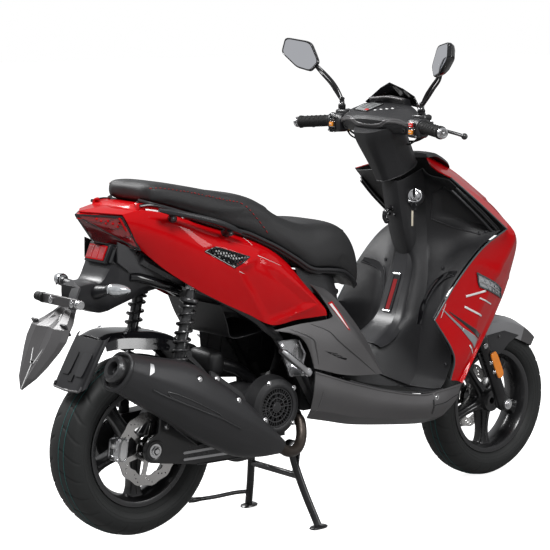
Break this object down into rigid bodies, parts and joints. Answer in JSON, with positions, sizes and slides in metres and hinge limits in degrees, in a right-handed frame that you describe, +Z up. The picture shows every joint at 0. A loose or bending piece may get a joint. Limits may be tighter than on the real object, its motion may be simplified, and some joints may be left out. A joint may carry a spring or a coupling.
{
  "type": "motor scooter",
  "caption": "Step-through motor scooter on its centre stand, with body panels, a long seat, a swinging engine unit, disc brakes, mirrors and folding pegs.",
  "frame": {"origin": "on the ground, under the middle of the machine's length and width", "axes": "+X forward, +Y to the rider's left, +Z up"},
  "size_m": [1.9194, 0.727, 1.3531],
  "materials": {
    "black_plastic": "grained matte black moulded plastic",
    "red_paint": "gloss red painted plastic",
    "grey_paint": "satin gunmetal painted plastic",
    "black_steel": "black painted steel",
    "black_alloy": "black coated cast alloy",
    "alloy": "bare satin alloy",
    "disc_steel": "ground steel brake disc",
    "chrome": "bright chrome",
    "rubber": "ribbed black rubber",
    "tyre_rubber": "black road tyre with grooves",
    "seat_vinyl": "grained black vinyl cover with red stitching",
    "red_lens": "red moulded lens",
    "clear_lens": "clear moulded lens over a bright reflector",
    "charcoal_steel": "heat-proof charcoal coating",
    "red_button": "red switch",
    "amber_button": "amber switch"
  },
  "bodies": {
    "chassis": {"main_frame": "black_steel", "leg_shield": "black_plastic", "floorboard": "black_plastic", "side_skirt_left": "grey_paint", "side_skirt_right": "grey_paint", "front_fairing": "red_paint", "headlight": "clear_lens", "under_seat_panel": "grey_paint", "side_panel_left": "red_paint", "side_panel_right": "red_paint", "tail_light": "red_lens", "undertray": "black_plastic", "plate_flap": "black_plastic", "grab_rail_left": "black_plastic", "grab_rail_right": "black_plastic", "storage_bucket": "black_plastic"},
    "seat": {"seat_cushion": "seat_vinyl", "seat_base": "black_plastic"},
    "key": {"ignition_key": "chrome"},
    "steering": {"fork_crown": "black_steel", "handlebar": "black_steel", "handlebar_cover": "black_plastic", "dash_visor": "black_plastic", "grip_left": "rubber", "switch_box_left": "black_plastic", "switch_box_right": "black_plastic"},
    "throttle": {"throttle_grip": "rubber"},
    "brake_lever_left": {"brake_lever_left": "black_steel"},
    "brake_lever_right": {"brake_lever_right": "black_steel"},
    "mirror_left": {"mirror_left": "black_plastic"},
    "mirror_right": {"mirror_right": "black_plastic"},
    "starter_button": {"starter_button": "amber_button"},
    "kill_switch": {"kill_switch": "red_button"},
    "indicator_switch": {"indicator_switch": "amber_button"},
    "fork_lower": {"fork_leg_left": "black_alloy", "fork_leg_right": "black_alloy", "front_fender": "grey_paint", "front_caliper": "alloy"},
    "front_wheel": {"front_rim": "black_alloy", "front_tyre": "tyre_rubber", "front_disc": "disc_steel"},
    "engine": {"engine_case": "black_alloy", "cvt_case": "black_alloy", "fan_shroud": "black_plastic", "exhaust": "charcoal_steel", "swing_arm": "black_alloy", "hugger": "black_plastic", "rear_caliper": "alloy"},
    "rear_wheel": {"rear_rim": "black_alloy", "rear_tyre": "tyre_rubber", "rear_disc": "disc_steel"},
    "shock_upper": {"shock_body_left": "black_steel", "shock_body_right": "black_steel", "spring_left": "black_steel", "spring_right": "black_steel"},
    "shock_lower": {"shock_rod_left": "chrome", "shock_rod_right": "chrome"},
    "centre_stand": {"centre_stand": "black_steel"},
    "footpeg_left": {"footpeg_left": "alloy"},
    "footpeg_right": {"footpeg_right": "alloy"}
  },
  "joints": [
    {"name": "steering", "type": "hinge", "parent": "chassis", "child": "steering", "pos_m": [0.34225, 0, 0.96], "axis": [-0.4305, 0, 0.9026], "range_deg": [-40, 40]},
    {"name": "fork_slide", "type": "slide", "parent": "steering", "child": "fork_lower", "axis": [-0.4305, 0, 0.9026], "range_m": [0, 0.06], "stiffness_N_per_m": 9000, "springref_m": -0.03},
    {"name": "front_wheel_spin", "type": "hinge", "parent": "fork_lower", "child": "front_wheel", "pos_m": [0.72325, 0, 0.2368], "axis": [0, 1, 0], "continuous": true},
    {"name": "engine_swing", "type": "hinge", "parent": "chassis", "child": "engine", "pos_m": [-0.11275, 0, 0.36], "axis": [0, 1, 0], "range_deg": [0, 5], "stiffness_Nm_per_rad": 6000, "springref_deg": -1.72},
    {"name": "rear_wheel_spin", "type": "hinge", "parent": "engine", "child": "rear_wheel", "pos_m": [-0.61275, 0, 0.2945], "axis": [0, 1, 0], "continuous": true},
    {"name": "shock_tilt", "type": "hinge", "parent": "chassis", "child": "shock_upper", "pos_m": [-0.49475, 0, 0.725], "axis": [0, 1, 0], "range_deg": [0, 0.9]},
    {"name": "shock_slide", "type": "slide", "parent": "shock_upper", "child": "shock_lower", "axis": [0.2236, 0, 0.9747], "range_m": [0, 0.0398], "deforming": ["spring_left", "spring_right"]},
    {"name": "centre_stand_fold", "type": "hinge", "parent": "engine", "child": "centre_stand", "pos_m": [-0.13075, 0, 0.232], "axis": [0, 1, 0], "range_deg": [0, 75]},
    {"name": "seat_lift", "type": "hinge", "parent": "chassis", "child": "seat", "pos_m": [0.08925, 0, 0.64], "axis": [0, 1, 0], "range_deg": [0, 50]},
    {"name": "key_turn", "type": "hinge", "parent": "chassis", "child": "key", "pos_m": [0.36125, -0.068, 0.9], "axis": [-0.7181, -0.6184, 0.3192], "range_deg": [0, 90]},
    {"name": "throttle_twist", "type": "hinge", "parent": "steering", "child": "throttle", "pos_m": [0.26845, -0.1964, 1.11], "axis": [-0.3154, -0.9462, -0.0717], "range_deg": [0, 75], "stiffness_Nm_per_rad": 0.2, "springref_deg": -17.19},
    {"name": "brake_lever_left_pull", "type": "hinge", "parent": "steering", "child": "brake_lever_left", "pos_m": [0.31225, 0.178, 1.108], "axis": [0, 0, 1], "range_deg": [0, 15], "stiffness_Nm_per_rad": 2, "springref_deg": -5.73},
    {"name": "brake_lever_right_pull", "type": "hinge", "parent": "steering", "child": "brake_lever_right", "pos_m": [0.31225, -0.178, 1.108], "axis": [0, 0, -1], "range_deg": [0, 15], "stiffness_Nm_per_rad": 2, "springref_deg": -5.73},
    {"name": "mirror_left_turn", "type": "hinge", "parent": "steering", "child": "mirror_left", "pos_m": [0.28425, 0.168, 1.146], "axis": [0, 0, 1], "range_deg": [-25, 25]},
    {"name": "mirror_right_turn", "type": "hinge", "parent": "steering", "child": "mirror_right", "pos_m": [0.28425, -0.168, 1.146], "axis": [0, 0, 1], "range_deg": [-25, 25]},
    {"name": "starter_button_press", "type": "slide", "parent": "steering", "child": "starter_button", "axis": [1, 0, 0], "range_m": [0, 0.002], "stiffness_N_per_m": 300, "springref_m": -0.001},
    {"name": "kill_switch_rock", "type": "hinge", "parent": "steering", "child": "kill_switch", "pos_m": [0.24275, -0.169, 1.116], "axis": [0, 0, 1], "range_deg": [-8, 8]},
    {"name": "indicator_switch_slide", "type": "slide", "parent": "steering", "child": "indicator_switch", "axis": [0, 1, 0], "range_m": [-0.003, 0.003]},
    {"name": "footpeg_left_fold", "type": "hinge", "parent": "chassis", "child": "footpeg_left", "pos_m": [-0.15075, 0.182, 0.458], "axis": [-0.6, 0, -0.8], "range_deg": [0, 90]},
    {"name": "footpeg_right_fold", "type": "hinge", "parent": "chassis", "child": "footpeg_right", "pos_m": [-0.15075, -0.182, 0.458], "axis": [0.6, 0, 0.8], "range_deg": [0, 90]}
  ],
  "couplings": [
    {"joint": "shock_tilt", "follows": "engine_swing", "ratio": 0.18},
    {"joint": "shock_slide", "follows": "engine_swing", "m_per_rad": 0.4555}
  ]
}
